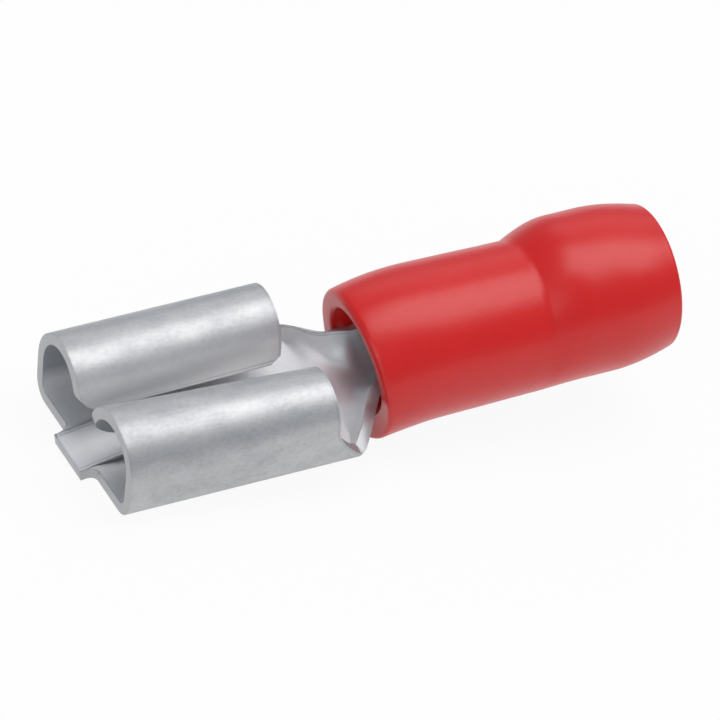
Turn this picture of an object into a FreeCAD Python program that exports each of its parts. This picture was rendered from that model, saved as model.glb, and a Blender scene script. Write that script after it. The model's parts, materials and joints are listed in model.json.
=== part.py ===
import FreeCAD, Part
import os
from math import acos, asin, cos, degrees, pi, radians, sin, tan

V = FreeCAD.Vector

# Insulated female spade terminal for a 6.3 x 0.8 mm tab
# Working frame: +X runs from the tab's mouth to the wire's end, +Z up, and
# z = 0 is the outside of the receptacle's floor. The last step lays the
# finished part down as it comes to rest.

# Sheet metal receptacle
sheet = 0.4            # thickness of the tinned brass strip
box_width = 7.4        # over the two curls, at their widest
curl_length = 7.6      # mouth to the rear end of the curls
bend_radius = 0.75     # outside of the two floor bends
wall_lean = 2.0        # degrees that the walls lean outwards
wall_front = 0.83      # straight height of a wall at the mouth
wall_rear = 0.95       # and at the rear end of the curl
curl_front = 1.66      # outside radius of a curl at the mouth
curl_rear = 1.38       # and at its rear end
lip_level_front = 1.5  # height of a curl's free edge at the mouth
lip_level_rear = 1.08  # and at its rear end
lip_round_front = 0.85 # corner radius of the free edge at the mouth
lip_round_rear = 0.35  # and at its rear end

# Spring strip along the middle of the floor
strip_width = 2.05
strip_reach = 0.55     # how far its tip stands out of the mouth
strip_slope = 10.0     # degrees, rising inwards
strip_lift = 0.3       # greatest height above the floor
strip_length = 5.2     # mouth to where it is level with the floor again
strip_root = 0.3       # radius in the corner between tip and floor

# Neck behind the curls
slope_run = 0.9        # length over which the walls slope down to the neck
slope_foot = 0.45      # height of the walls where the neck starts
neck_length = 3.3      # from the walls' foot to the closed barrel
taper_length = 1.2     # length over which the neck's edges run in
taper_half = 2.15      # half width over the edges at the end of the taper
taper_rise = 0.9       # height of the edges there
turn_length = 0.8      # from there to where the edges stand up
turn_half = 1.58       # half width over the standing edges
turn_rise = 1.42       # and their height

# Barrel for the conductor
barrel_bore = 2.0      # inside diameter
barrel_length = 4.0
barrel_axis = 1.44     # height of the barrel's centre
seam_gap = 0.08        # between the butted edges of the barrel

# Moulded sleeve
sleeve_start = 9.92    # middle of the front rim
sleeve_length = 10.91
sleeve_front = 5.3     # diameter over the front rim
sleeve_belly = 5.36    # largest diameter of the front part
sleeve_waist = 5.2     # diameter at the crease in front of the bell
front_droop = 0.38     # the front rim sits lower than the barrel by this
front_lean = 10.0      # degrees that its plane leans, top forwards
droop_length = 2.4     # length over which the sleeve straightens
bell_diameter = 5.62   # largest diameter of the bell
bell_offset = 0.36     # the bell sits higher than the barrel by this
bell_length = 4.85     # crease to the rear rim
rear_rim = 4.9         # diameter over the rear rim
rear_wall = 0.47       # wall at the rear rim, on average
mouth_wall = 0.42      # wall at the front rim
rim_round = 0.16       # rounding of the rims
grip_clearance = 0.02  # radial, between the sleeve and the barrel
stop_step = 0.12       # how far the inner collar overlaps the barrel's end
collar_length = 0.25   # the inner collar behind the barrel
funnel_length = 1.0    # from the collar out to the wire's hole
throat_overrun = 0.3   # how far the front hollow tapers past the barrel's start
bore_offset = 0.3      # the wire's hole sits higher than the barrel by this

# Worked out from the sizes above
barrel_inner = barrel_bore / 2
barrel_outer = barrel_inner + sheet
neck_start = curl_length + slope_run
barrel_start = neck_start + neck_length
barrel_end = barrel_start + barrel_length
sleeve_end = sleeve_start + sleeve_length
crease = sleeve_end - bell_length
strip_half = strip_width / 2


def point(x, y, z):
    return V(x, y, z)


def arc(a, middle, b):
    return Part.Arc(a, middle, b).toShape()


def line(a, b):
    return Part.LineSegment(a, b).toShape()


# Profile of the receptacle
# One half is walked from the floor's bend to the curl's free edge. Each step
# gives the outside point, and the sheet's inside lies one thickness to the left.

def half_path(wall, curl, lip_level):
    """Centres and limits of the bend and the curl, for the side at +Y."""
    up = radians(90.0 - wall_lean)
    curl_y = box_width / 2 - curl
    bend_end_z = bend_radius * (1 - cos(up))
    wall_top_z = bend_end_z + wall * sin(up)
    curl_z = wall_top_z + curl * cos(up)
    wall_top_y = curl_y + curl * sin(up)
    bend_y = wall_top_y - wall * cos(up) - bend_radius * sin(up)
    return {"up": up, "bend_y": bend_y, "curl_y": curl_y, "curl_z": curl_z,
            "curl": curl, "lip": lip_level}


def on_circle(x, side, cy, cz, r, heading):
    """Point of a circle walked to a heading measured from +Y."""
    return point(x, side * (cy + r * sin(heading)), cz - r * cos(heading))


def half_edges(x, side, h, inset):
    """Edges from the floor's bend to the free edge, moved inwards by inset."""
    rb = bend_radius - inset
    rc = h["curl"] - inset
    up = h["up"]
    quarter = (1.5 * pi - up) / 4
    bend = [on_circle(x, side, h["bend_y"], bend_radius, rb, a) for a in (0, up / 2, up)]
    curl = [on_circle(x, side, h["curl_y"], h["curl_z"], rc, up + k * quarter / 2) for k in range(9)]
    tip = point(x, curl[8].y, h["lip"])
    edges = [arc(*bend), line(bend[2], curl[0])]
    edges += [arc(curl[k], curl[k + 1], curl[k + 2]) for k in (0, 2, 4, 6)]
    edges.append(line(curl[8], tip))
    return edges, bend[0], tip


def receptacle_wire(x, h):
    """Closed outline of the curled sheet at one station."""
    right_out, floor_right, tip_right = half_edges(x, 1, h, 0)
    right_in, top_right, inner_right = half_edges(x, 1, h, sheet)
    left_out, floor_left, tip_left = half_edges(x, -1, h, 0)
    left_in, top_left, inner_left = half_edges(x, -1, h, sheet)
    edges = [line(floor_left, floor_right)] + right_out + [line(tip_right, inner_right)]
    edges += right_in[::-1] + [line(top_right, top_left)] + left_in
    edges += [line(inner_left, tip_left)] + left_out[::-1]
    return Part.Wire(Part.__sortEdges__(edges))


def lip_corner(x_end, inward, level, radius):
    """What a rounded free corner takes off both lips, at one end of the curls."""
    reach = 0.5
    x_low = min(x_end - inward * reach, x_end + inward * radius)
    box = Part.makeBox(radius + reach, box_width - 2 * curl_front, radius + reach,
                       point(x_low, -box_width / 2 + curl_front, level - reach))
    round_bar = Part.makeCylinder(radius, box_width,
                                  point(x_end + inward * radius, -box_width / 2, level + radius), V(0, 1, 0))
    keep = Part.makeBox(reach + radius, box_width, reach + radius,
                        point(x_end + inward * radius if inward > 0 else x_end - radius - reach - radius,
                              -box_width / 2, level - reach))
    above = Part.makeBox(2 * radius + reach, box_width, reach + radius,
                         point(x_low - reach, -box_width / 2, level + radius))
    return box.cut(round_bar).cut(keep).cut(above)


def curled_box():
    front = half_path(wall_front, curl_front, lip_level_front)
    rear = half_path(wall_rear, curl_rear, lip_level_rear)
    body = Part.makeLoft([receptacle_wire(0, front), receptacle_wire(curl_length, rear)], True, True)
    body = body.cut(lip_corner(0, 1, lip_level_front, lip_round_front))
    return body.cut(lip_corner(curl_length, -1, lip_level_rear, lip_round_rear))


# Walls behind the curls

def open_wire(x, h, side_angle):
    """Floor and bends alone, as far as side_angle up each bend."""
    edges = []
    ends = {}
    for inset in (0, sheet):
        r = bend_radius - inset
        for side in (1, -1):
            p = [on_circle(x, side, h["bend_y"], bend_radius, r, a) for a in (0, side_angle / 2, side_angle)]
            edges.append(arc(*p))
            ends[(inset, side)] = p
        edges.append(line(ends[(inset, -1)][0], ends[(inset, 1)][0]))
    for side in (1, -1):
        edges.append(line(ends[(0, side)][2], ends[(sheet, side)][2]))
    return Part.Wire(Part.__sortEdges__(edges))


def foot_angle():
    """How far up the bend the wall still stands where the neck starts."""
    return acos(1 - slope_foot / bend_radius)


def sloping_walls():
    """The channel behind the curls, cut down along a slope to the neck."""
    rear = half_path(wall_rear, curl_rear, lip_level_rear)
    wall_top = rear["curl_z"] + 0.05
    full = Part.Face(receptacle_wire(curl_length, rear)).extrude(V(slope_run, 0, 0))
    corner = [point(curl_length, -box_width, wall_top), point(neck_start, -box_width, slope_foot),
              point(neck_start, -box_width, 2 * box_width), point(curl_length, -box_width, 2 * box_width)]
    waste = Part.Face(Part.makePolygon(corner + corner[:1])).extrude(V(0, 2 * box_width, 0))
    inner_half = rear["curl_y"] - 0.02
    middle = Part.makeBox(slope_run, 2 * inner_half, box_width,
                          point(curl_length, -inner_half, bend_radius))
    return full.cut(waste).cut(middle)


# Neck: the floor closes into a trough and then into the barrel

def trough_wire(x, bottom, r1, a1, r2, a2):
    """Sheet outline made of a floor arc and a tangent side arc on each side."""
    edges = []
    ends = {}
    for inset in (0, sheet):
        for side in (1, -1):
            cz1 = bottom + r1
            cy2 = (r1 - r2) * sin(a1)
            cz2 = cz1 - (r1 - r2) * cos(a1)
            floor = [on_circle(x, side, 0, cz1, r1 - inset, a) for a in (0, a1)]
            flank = [on_circle(x, side, cy2, cz2, r2 - inset, a) for a in (a1, a1 + a2 / 2, a1 + a2)]
            edges.append(arc(*flank))
            ends[(inset, side)] = (floor, flank)
        left = ends[(inset, -1)][0]
        right = ends[(inset, 1)][0]
        edges.append(arc(left[1], left[0], right[1]))
    for side in (1, -1):
        edges.append(line(ends[(0, side)][1][2], ends[(sheet, side)][1][2]))
    return Part.Wire(Part.__sortEdges__(edges))


def tangent_arcs(half, rise, turn, edge_turn):
    """Radii of the floor arc and the side arc that end at an edge point.

    The floor arc ends at the heading turn, the side arc at edge_turn.
    """
    a, b = sin(turn), sin(edge_turn) - sin(turn)
    c, d = 1 - cos(turn), cos(turn) - cos(edge_turn)
    whole = a * d - b * c
    return (half * d - b * rise) / whole, (a * rise - c * half) / whole


def edge_wire(x, half, rise, turn, edge_turn):
    """Trough section whose edges stand at a half width and a height."""
    turn, edge_turn = radians(turn), radians(edge_turn)
    r1, r2 = tangent_arcs(half, rise, turn, edge_turn)
    return trough_wire(x, 0, r1, turn, r2, edge_turn - turn)


def closed_angle():
    return pi - asin(seam_gap / 2 / barrel_outer)


def barrel_wire(x):
    a = closed_angle()
    return trough_wire(x, barrel_axis - barrel_outer, barrel_outer, a * 0.45, barrel_outer, a * 0.55)


def neck():
    """Smooth loft: walls' foot, tapering edges, standing edges, closing trough, barrel."""
    rear = half_path(wall_rear, curl_rear, lip_level_rear)
    foot_half = rear["bend_y"] + bend_radius * sin(foot_angle())
    sections = [open_wire(neck_start, rear, foot_angle())]
    for share, turn, edge_turn in ((0.5, 6, 61), (1, 20, 66)):
        run_in = share ** 1.3
        half = foot_half + (taper_half - foot_half) * run_in
        rise = slope_foot + (taper_rise - slope_foot) * run_in
        sections.append(edge_wire(neck_start + taper_length * share, half, rise, turn, edge_turn))
    for share, turn, edge_turn in ((0.5, 33, 78), (1, 40, 85)):
        stand_up = 1 - (1 - share) ** 2
        half = taper_half + (turn_half - taper_half) * stand_up
        rise = taper_rise + (turn_rise - taper_rise) * stand_up
        sections.append(edge_wire(neck_start + taper_length + turn_length * share,
                                  half, rise, turn, edge_turn))
    standing = neck_start + taper_length + turn_length
    for share, widening, closed in ((0.4, 1.06, 0.61), (0.75, 1.01, 0.84)):
        r = barrel_outer * widening
        angle = closed_angle() * closed
        bottom = (barrel_axis - barrel_outer) * share
        sections.append(trough_wire(standing + (barrel_start - standing) * share, bottom,
                                    r, angle * 0.45, r, angle * 0.55))
    sections.append(barrel_wire(barrel_start))
    return Part.makeLoft(sections, True, False, False, 3)


def barrel():
    return Part.Face(barrel_wire(barrel_start)).extrude(V(barrel_length, 0, 0))


# Spring strip

def strip_curve(drop):
    """Side view of the strip's face, from the tip to where it is level again."""
    slope = tan(radians(strip_slope))
    top = sheet - drop
    ramp_end = 0.8 * strip_lift / slope
    crest = ramp_end + 0.35 * (strip_length - ramp_end)
    tip = point(-strip_reach, 0, top - strip_reach * slope)
    knee = point(ramp_end, 0, top + 0.8 * strip_lift)
    rise = Part.BSplineCurve()
    rise.interpolate(Points=[knee, point(crest, 0, top + strip_lift), point(strip_length, 0, top)],
                     Tangents=[V(1, 0, slope), V(1, 0, 0), V(1, 0, -0.02)],
                     TangentFlags=[True, True, True])
    return tip, knee, rise.toShape(), point(strip_length, 0, top)


def spring_strip():
    tip, knee, rise, back = strip_curve(0)
    low_tip, low_knee, low_rise, low_back = strip_curve(sheet)
    wire = Part.Wire(Part.__sortEdges__([line(tip, knee), rise, line(back, low_back), low_rise,
                                         line(low_knee, low_tip), line(low_tip, tip)]))
    body = Part.Face(wire).extrude(V(0, strip_width, 0))
    body.translate(V(0, -strip_half, 0))
    return body


def strip_hollow():
    """The space under the raised strip, open to the outside of the floor."""
    low_tip, low_knee, low_rise, low_back = strip_curve(sheet)
    below = -sheet
    corners = [low_back, point(strip_length, 0, below), point(-strip_reach, 0, below), low_tip]
    edges = [line(low_tip, low_knee), low_rise]
    edges += [line(a, b) for a, b in zip(corners, corners[1:])]
    body = Part.Face(Part.Wire(Part.__sortEdges__(edges))).extrude(V(0, strip_width, 0))
    body.translate(V(0, -strip_half, 0))
    return body


def root_fillet(side):
    """Concave corner between the strip's tip and the floor's front edge."""
    block = Part.makeBox(strip_root, strip_root, sheet,
                         point(-strip_root, strip_half if side > 0 else -strip_half - strip_root, 0))
    round_bar = Part.makeCylinder(strip_root, 3 * sheet,
                                  point(-strip_root, side * (strip_half + strip_root), -sheet), V(0, 0, 1))
    return block.cut(round_bar)


def terminal():
    """The whole stamped, folded and rolled strip, one solid."""
    body = curled_box()
    for piece in (sloping_walls(), neck(), barrel()):
        body = body.fuse(piece)
    body = body.cut(strip_hollow()).fuse(spring_strip())
    for side in (1, -1):
        body = body.fuse(root_fillet(side))
    return body.removeSplitter()


# Sleeve
# Its front is moulded soft: the rim hangs a little below the barrel and its
# plane leans with the top forwards. Both fade out along droop_length.

def belly_radius(run):
    """Outside radius of the front part, at a distance behind the rim."""
    length = crease - sleeve_start
    rise_end = 0.22 * length
    if run < rise_end:
        u = 1 - run / rise_end
        return sleeve_belly / 2 - (sleeve_belly - sleeve_front) / 2 * u * u
    u = (run - rise_end) / (length - rise_end)
    return sleeve_belly / 2 - (sleeve_belly - sleeve_waist) / 2 * u


def ring_wire(x, r, z, lean=0):
    """Circle round the long axis, its top leaning forwards by an angle."""
    return Part.Wire(Part.Circle(point(x, 0, z), V(cos(lean), 0, sin(lean)), r).toShape())


def arc_ring(x, r, z, lean=0):
    """The same circle in eight arcs, for straight-sided hollows."""
    def rim(k):
        a = k * pi / 8
        return point(x - r * cos(a) * sin(lean), r * sin(a), z + r * cos(a) * cos(lean))
    return Part.Wire([arc(rim(k), rim(k + 1), rim(k + 2)) for k in range(0, 16, 2)])


def front_ring(run, inset=0):
    """One outside ring of the front part."""
    left = max(0, 1 - run / droop_length)
    left = left * left
    return ring_wire(sleeve_start + run, belly_radius(run) - inset,
                     barrel_axis - front_droop * left, radians(front_lean) * left)


def rounding(r):
    """Steps of a rim's rounding: distance from the rim and what it takes off."""
    return [(r * (1 - sin(a)), r * (1 - cos(a))) for a in (pi / 2, pi / 3, pi / 6, 0)]


def sleeve_front_part():
    rim = Part.makeLoft([front_ring(run, inset) for run, inset in rounding(rim_round)], True, True)
    length = crease - sleeve_start
    runs = [rim_round, 0.12 * length, 0.22 * length, 0.32 * length, 0.5 * length, length]
    return rim.fuse(Part.makeLoft([front_ring(run) for run in runs], True, False, False, 3))


def bell_station(u):
    """Radius and rise of the bell at a share u of its length."""
    flare = 0.33
    fall = 0.56
    r_crease = sleeve_waist / 2
    r_bell = bell_diameter / 2
    r_rim = rear_rim / 2
    s = sin(pi / 2 * min(1, u / flare))
    r = r_crease + (r_bell - r_crease) * s
    if u > fall:
        r = r_bell - (r_bell - r_rim) * ((u - fall) / (1 - fall)) ** 1.8
    return r, bell_offset * s


def sleeve_bell():
    last = 1 - rim_round / bell_length
    rings = []
    for u in (0, 0.08, 0.17, 0.29, 0.42, 0.56, 0.7, 0.83, last):
        r, rise = bell_station(u)
        rings.append(ring_wire(crease + u * bell_length, r, barrel_axis + rise))
    bell = Part.makeLoft(rings, True, False, False, 3)
    r, rise = bell_station(last)
    rim = [ring_wire(sleeve_end - step, r - inset, barrel_axis + rise)
           for step, inset in rounding(rim_round)]
    return bell.fuse(Part.makeLoft(rim[::-1], True, True))


def drum(x0, x1, r, z):
    return Part.makeCylinder(r, x1 - x0, point(x0, 0, z), V(1, 0, 0))


def wire_bore_radius():
    return rear_rim / 2 - rear_wall


def front_throat(throat_end, grip):
    """Hollow from the leaning rim to the grip on the barrel, with a rounded mouth."""
    lean = radians(front_lean)
    centre = barrel_axis - front_droop
    mouth = sleeve_front / 2 - mouth_wall
    rings = [arc_ring(sleeve_start + step, mouth + inset, centre, lean)
             for step, inset in rounding(rim_round)]
    rings.append(arc_ring(throat_end, grip, barrel_axis))
    return Part.makeLoft(rings, True, True)


def sleeve_hollow():
    """Front throat for the neck, grip on the barrel, collar, funnel and wire bore."""
    grip = barrel_outer + grip_clearance
    collar = barrel_outer - stop_step
    throat_end = barrel_start + throat_overrun
    collar_start = barrel_end + grip_clearance
    collar_end = collar_start + collar_length
    funnel_end = collar_end + funnel_length
    bore = wire_bore_radius()
    z = barrel_axis + bore_offset
    parts = [front_throat(throat_end, grip),
             drum(throat_end - 0.01, collar_start, grip, barrel_axis),
             drum(collar_start - 0.01, collar_end, collar, barrel_axis),
             Part.makeLoft([arc_ring(collar_end, collar, barrel_axis),
                            arc_ring(funnel_end, bore, z)], True, True),
             drum(funnel_end, sleeve_end - rim_round, bore, z)]
    rim = [ring_wire(sleeve_end - step, bore + inset, z) for step, inset in rounding(rim_round)]
    parts.append(Part.makeLoft(rim[::-1], True, True))
    body = parts[0]
    for piece in parts[1:]:
        body = body.fuse(piece)
    return body


def insulating_sleeve():
    outside = sleeve_front_part().fuse(sleeve_bell())
    return outside.cut(sleeve_hollow()).removeSplitter()


# Resting position: nose down on the strip's tip, with the sleeve's rim behind it

def rest_tilt(front, back):
    """Angle at which the nose and the sleeve touch the table together."""
    low = 0
    high = radians(15)
    for step in range(14):
        tilt = (low + high) / 2
        bottoms = []
        for shape in (front, back):
            turned = shape.copy()
            turned.rotate(V(0, 0, 0), V(0, 1, 0), -degrees(tilt))
            bottoms.append(turned.optimalBoundingBox(False, False).ZMin)
        if bottoms[0] > bottoms[1]:
            low = tilt
        else:
            high = tilt
    return (low + high) / 2


def lay_down(shapes):
    tilt = rest_tilt(*shapes)
    for shape in shapes:
        shape.rotate(V(0, 0, 0), V(0, 1, 0), -degrees(tilt))
    whole = Part.makeCompound(shapes).optimalBoundingBox(False, False)
    shift = V(-(whole.XMin + whole.XMax) / 2, 0, -whole.ZMin)
    for shape in shapes:
        shape.translate(shift)
    return tilt, shift


def main():
    pieces = {"terminal": terminal(), "insulating_sleeve": insulating_sleeve()}
    tilt, shift = lay_down(list(pieces.values()))
    print("rest tilt %.3f degrees, moved by %.4f %.4f %.4f" % (degrees(tilt), shift.x, shift.y, shift.z))
    os.makedirs("parts", exist_ok=True)
    for name, shape in pieces.items():
        shape.exportStep("parts/%s.step" % name)
        box = shape.BoundBox
        print(name, "solids", len(shape.Solids), "valid", shape.isValid(), "volume %.2f" % shape.Volume,
              "x %.2f to %.2f y %.2f to %.2f z %.3f to %.2f"
              % (box.XMin, box.XMax, box.YMin, box.YMax, box.ZMin, box.ZMax))


main()
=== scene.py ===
# %% [markdown]
# This lesson dresses an insulated female spade terminal: a strip of tinned
# brass that is curled at one end to grip a flat tab and rolled at the other
# into a barrel, with a soft red sleeve pushed over the barrel. The exact solids
# come in as a fixed frame, in metres. Everything made here sits in that frame.

# %% Load the exact model
import bpy
import bmesh
import json
import math
from mathutils import Matrix, Vector
from mathutils.bvhtree import BVHTree


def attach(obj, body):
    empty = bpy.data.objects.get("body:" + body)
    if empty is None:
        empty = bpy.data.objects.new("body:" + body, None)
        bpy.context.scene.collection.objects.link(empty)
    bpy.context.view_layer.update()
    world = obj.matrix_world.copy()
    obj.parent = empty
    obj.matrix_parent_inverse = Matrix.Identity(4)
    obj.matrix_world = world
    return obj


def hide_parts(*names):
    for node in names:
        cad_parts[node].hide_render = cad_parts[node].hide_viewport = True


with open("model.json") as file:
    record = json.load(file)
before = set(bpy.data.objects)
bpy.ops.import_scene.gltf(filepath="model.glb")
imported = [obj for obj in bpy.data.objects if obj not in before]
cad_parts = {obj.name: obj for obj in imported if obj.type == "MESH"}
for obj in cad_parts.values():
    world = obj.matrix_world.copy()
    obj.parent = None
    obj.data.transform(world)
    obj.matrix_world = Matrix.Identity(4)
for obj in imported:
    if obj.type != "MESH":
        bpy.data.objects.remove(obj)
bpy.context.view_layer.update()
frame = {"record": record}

# %% [markdown]
# The terminal lies nose down, so its long axis is a few degrees off the table.
# It is far easier to think along that axis, with x = 0 at the mouth, y to the
# side and z up from the receptacle's floor, all in millimetres. The record
# knows where the barrel is and which way it points, and that fixes the step
# from those working coordinates to the frame.

# %% Working coordinates
MILLIMETRE = 0.001       # in the metres of the frame
BARREL_MIDDLE = 13.8     # along the axis, from the mouth
BARREL_HEIGHT = 1.44     # above the underside of the floor

barrel = next(m for m in frame["record"]["mounts"] if m["name"] == "wire_barrel")
tilt = math.atan2(barrel["axis"][2], barrel["axis"][0])
lean = Matrix(((math.cos(tilt), 0, -math.sin(tilt)),
               (0, 1, 0),
               (math.sin(tilt), 0, math.cos(tilt))))
start = Vector(barrel["pos_m"]) - lean @ Vector((BARREL_MIDDLE, 0, BARREL_HEIGHT)) * MILLIMETRE


def place(x, y, z):
    """Working millimetres to a point of the frame."""
    return lean @ Vector((x, y, z)) * MILLIMETRE + start


print("tilt in degrees:", round(math.degrees(tilt), 3),
      "mouth at", [round(v / MILLIMETRE, 3) for v in start])

# %% [markdown]
# The photograph was taken with a long lens, from in front and above, so the
# lines hardly converge. The camera is turned by its azimuth, elevation and roll
# in the working coordinates, and a long focal length keeps the same distance
# and scale for a square picture.

# %% Camera
AZIMUTH, ELEVATION, ROLL = math.radians(-28.622), math.radians(39.445), math.radians(5.241)
PICTURE = 720            # points along a side of the square picture
SENSOR = 36              # millimetres along a side of the camera's sensor
DISTANCE = 437.686       # millimetres from the aim point
SCALE = 30.136           # picture points per millimetre there
AIM = Vector((10, 0, 1.5))
AIM_IN_PICTURE = (358.199, 354.058)

back = Vector((math.sin(AZIMUTH) * math.cos(ELEVATION),
               -math.cos(AZIMUTH) * math.cos(ELEVATION),
               math.sin(ELEVATION)))
flat_right = Vector((math.cos(AZIMUTH), math.sin(AZIMUTH), 0))
flat_up = back.cross(flat_right)
right = math.cos(ROLL) * flat_right + math.sin(ROLL) * flat_up
up = -math.sin(ROLL) * flat_right + math.cos(ROLL) * flat_up
eye = AIM + DISTANCE * back
eye -= (AIM_IN_PICTURE[0] - PICTURE / 2) / SCALE * right
eye += (AIM_IN_PICTURE[1] - PICTURE / 2) / SCALE * up

camera = bpy.data.objects.new("camera", bpy.data.cameras.new("camera"))
bpy.context.scene.collection.objects.link(camera)
axes = Matrix((lean @ right, lean @ up, lean @ back)).transposed()
camera.matrix_world = Matrix.Translation(place(*eye)) @ axes.to_4x4()
camera.data.sensor_width = SENSOR
camera.data.lens = SCALE * DISTANCE / PICTURE * SENSOR
camera.data.clip_start = 0.05
camera.data.clip_end = 5
bpy.context.scene.camera = camera
print("lens in mm:", round(camera.data.lens, 1),
      "eye at", [round(v, 4) for v in camera.location])

# %% [markdown]
# Every node tree of this lesson is built with the same few helpers. A Math node
# takes numbers or sockets, and gives back the socket of its result, so that
# sums can be written one inside the other.

# %% Small helpers for node trees
def empty_tree(owner):
    """The node tree of a material or a world, cleared."""
    owner.use_nodes = True
    owner.node_tree.nodes.clear()
    return owner.node_tree


def math_node(tree, operation, a, b=0.0):
    """A Math node; a and b are numbers or sockets."""
    node = tree.nodes.new("ShaderNodeMath")
    node.operation = operation
    for socket, value in ((node.inputs[0], a), (node.inputs[1], b)):
        if isinstance(value, (int, float)):
            socket.default_value = value
        else:
            tree.links.new(value, socket)
    return node.outputs[0]


def times(tree, a, b):
    """The product of two numbers or sockets."""
    return math_node(tree, "MULTIPLY", a, b)


def add_inputs(tree, wanted):
    """Named inputs of a node group, from (name, socket type, default)."""
    for name, kind, value in wanted:
        socket = tree.interface.new_socket(name=name, in_out="INPUT", socket_type=kind)
        if value is not None:
            socket.default_value = value
    return tree.nodes.new("NodeGroupInput")


print("helpers ready")

# %% [markdown]
# A plain pale floor, seen as almost white by the camera and by the metal, but
# still catching a faint shadow. The world is the pale studio round it.

# %% Floor and world
FLOOR_HALF = 0.6         # metres
FLOOR_GLOW = 0.93        # share of plain white where the floor is seen

scene = bpy.context.scene
scene.view_settings.view_transform = "Standard"

corners = [(x * FLOOR_HALF, y * FLOOR_HALF, 0) for x, y in ((-1, -1), (1, -1), (1, 1), (-1, 1))]
floor_mesh = bpy.data.meshes.new("floor")
floor_mesh.from_pydata(corners, [], [(0, 1, 2, 3)])
floor = bpy.data.objects.new("floor", floor_mesh)
scene.collection.objects.link(floor)
floor_paper = bpy.data.materials.new("white_paper")
tree = empty_tree(floor_paper)
out = tree.nodes.new("ShaderNodeOutputMaterial")
paper = tree.nodes.new("ShaderNodeBsdfDiffuse")
paper.inputs["Color"].default_value = (0.86, 0.86, 0.86, 1)
glow = tree.nodes.new("ShaderNodeEmission")
glow.inputs["Strength"].default_value = 1.0
path = tree.nodes.new("ShaderNodeLightPath")
seen = math_node(tree, "MAXIMUM", path.outputs["Is Camera Ray"], path.outputs["Is Glossy Ray"])
seen = math_node(tree, "MAXIMUM", seen, path.outputs["Is Transmission Ray"])
mix = tree.nodes.new("ShaderNodeMixShader")
tree.links.new(times(tree, seen, FLOOR_GLOW), mix.inputs[0])
tree.links.new(paper.outputs[0], mix.inputs[1])
tree.links.new(glow.outputs[0], mix.inputs[2])
tree.links.new(mix.outputs[0], out.inputs["Surface"])
floor_mesh.materials.append(floor_paper)

world = bpy.data.worlds.new("studio")
scene.world = world
tree = empty_tree(world)
out = tree.nodes.new("ShaderNodeOutputWorld")
sky = tree.nodes.new("ShaderNodeBackground")
sky.inputs["Color"].default_value = (0.9, 0.96, 1.08, 1)
sky.inputs["Strength"].default_value = 0.36
tree.links.new(sky.outputs[0], out.inputs["Surface"])
print("floor and world ready")

# %% [markdown]
# One large soft box overhead gives the long highlights along the curls and the
# sleeve. A weak one behind lights the far edges, and a weak one in front lifts
# the near sides. Distances and sizes are in metres, and power is in watts.

# %% Lamps
def soft_box(name, toward, distance, size, power, tint=(1, 1, 1)):
    """A rectangular lamp that shines on the middle of the object."""
    data = bpy.data.lights.new(name, "AREA")
    data.shape = "RECTANGLE"
    data.size, data.size_y = size
    data.energy = power
    data.color = tint
    lamp = bpy.data.objects.new(name, data)
    scene.collection.objects.link(lamp)
    aim = place(*AIM)
    lamp.location = aim + Vector(toward).normalized() * distance
    lamp.rotation_euler = (aim - lamp.location).to_track_quat("-Z", "Y").to_euler()


soft_box("overhead", (0.25, -0.08, 0.95), 0.4, (0.3, 0.5), 1.15, (1, 0.99, 0.975))
soft_box("behind", (0.35, 0.68, 0.62), 0.45, (0.4, 0.25), 0.18)
soft_box("front", (-0.75, -0.55, 0.45), 0.4, (0.3, 0.25), 0.26)

# %% [markdown]
# The terminal is one sheet, 0.4 mm thick, that has been stamped, folded and
# rolled. A box could be carved to look like it, but a sheet is easier to make as
# what it is: only its outer face is drawn, as rows of points, and a Solidify
# modifier gives it the thickness. Each row is a cross-section, and each point of
# a row stays on the same line of the flat strip all along the part.
#
# The first rule is the cross-section of the receptacle: floor, bend, wall, the
# curl that comes back down, and its free lip. It is the same at both ends of the
# curls, with other sizes, and straight in between.

# %% Cross-section of the receptacle
SHEET = 0.4              # thickness
HALF_BOX = 3.7           # half the width over the curls
CURL_LENGTH = 7.6
BEND = 0.75              # radius of the outer face between floor and wall
WALL_TURN = math.radians(88)
FOOT_HEIGHT = 0.45       # the walls end at this height where the neck starts
FOOT_TURN = math.acos(1 - FOOT_HEIGHT / BEND)
NECK_START = 8.5
STRIP_HALF = 1.025       # half the width of the spring strip
WALL_FRONT, CURL_FRONT, LIP_FRONT = 0.83, 1.66, 1.5    # wall, curl's radius, lip's height
WALL_REAR, CURL_REAR, LIP_REAR = 0.95, 1.38, 1.08      # and at the curls' rear end
BEND_STEPS, WALL_STEPS, CURL_STEPS, LIP_STEPS = 3, 5, 36, 2
WALL_TOP = BEND_STEPS + WALL_STEPS                     # number of the wall's last point


def spread(start, end, count):
    """Evenly spaced numbers from start to end, both included."""
    return [start + (end - start) * k / count for k in range(count + 1)]


def on_arc(cy, cz, r, turn):
    """Point (y, z) on an arc that starts at its lowest point and turns outwards and up."""
    return (cy + r * math.sin(turn), cz - r * math.cos(turn))


def bend_centre(wall, curl):
    """Distance from the middle to the centre of the bend between floor and wall."""
    top = HALF_BOX - curl + curl * math.sin(WALL_TURN)
    return top - wall * math.cos(WALL_TURN) - BEND * math.sin(WALL_TURN)


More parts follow.
